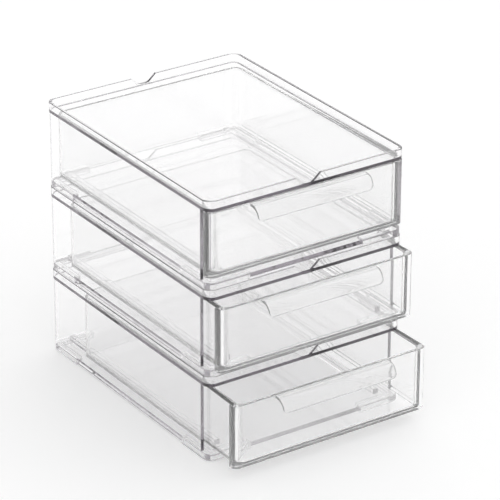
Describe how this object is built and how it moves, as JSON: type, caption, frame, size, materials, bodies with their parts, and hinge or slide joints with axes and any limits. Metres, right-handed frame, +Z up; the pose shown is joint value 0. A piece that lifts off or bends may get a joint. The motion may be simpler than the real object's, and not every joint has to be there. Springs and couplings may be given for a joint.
{
  "type": "stacking drawer organizer",
  "caption": "Clear plastic stack of shallow drawer units with rimmed lid trays, corner feet and bent pull handles, for storing craft stamps.",
  "frame": {"origin": "on the surface the stack stands on, below the middle of its overall box at rest, with the bottom and middle drawers partly open", "axes": "+Z up; the drawers pull out towards -Y; +X to the right when facing the drawer fronts"},
  "size_m": [0.1352, 0.2082, 0.1638],
  "materials": {
    "lid_plastic": "crystal clear, polished, cool tint at the edges",
    "case_plastic": "crystal clear, polished, cool tint at the edges",
    "drawer_plastic": "crystal clear, polished, faint grey tint at the edges",
    "handle_plastic": "clear, polished, bright lip",
    "foot_plastic": "clear, polished"
  },
  "bodies": {
    "bottom_case": {"bottom_lid_tray": "lid_plastic", "bottom_case_shell": "case_plastic", "bottom_foot_front_left": "foot_plastic", "bottom_foot_front_right": "foot_plastic", "bottom_foot_rear_left": "foot_plastic", "bottom_foot_rear_right": "foot_plastic"},
    "bottom_sliding_drawer": {"bottom_drawer": "drawer_plastic", "bottom_handle": "handle_plastic"},
    "middle_case": {"middle_lid_tray": "lid_plastic", "middle_case_shell": "case_plastic", "middle_foot_front_left": "foot_plastic", "middle_foot_front_right": "foot_plastic", "middle_foot_rear_left": "foot_plastic", "middle_foot_rear_right": "foot_plastic"},
    "middle_sliding_drawer": {"middle_drawer": "drawer_plastic", "middle_handle": "handle_plastic"},
    "top_case": {"top_lid_tray": "lid_plastic", "top_case_shell": "case_plastic", "top_foot_front_left": "foot_plastic", "top_foot_front_right": "foot_plastic", "top_foot_rear_left": "foot_plastic", "top_foot_rear_right": "foot_plastic"},
    "top_sliding_drawer": {"top_drawer": "drawer_plastic", "top_handle": "handle_plastic"}
  },
  "joints": [
    {"name": "bottom_drawer_slide", "type": "slide", "parent": "bottom_case", "child": "bottom_sliding_drawer", "axis": [0, -1, 0], "range_m": [-0.026, 0.094]},
    {"name": "middle_drawer_slide", "type": "slide", "parent": "middle_case", "child": "middle_sliding_drawer", "axis": [0, -1, 0], "range_m": [-0.0115, 0.1085]},
    {"name": "top_drawer_slide", "type": "slide", "parent": "top_case", "child": "top_sliding_drawer", "axis": [0, -1, 0], "range_m": [0, 0.12]},
    {"name": "middle_unit_lift", "type": "slide", "parent": "bottom_case", "child": "middle_case", "axis": [0, 0, 1], "range_m": [0, 0.08]},
    {"name": "top_unit_lift", "type": "slide", "parent": "middle_case", "child": "top_case", "axis": [0, 0, 1], "range_m": [0, 0.08]}
  ]
}
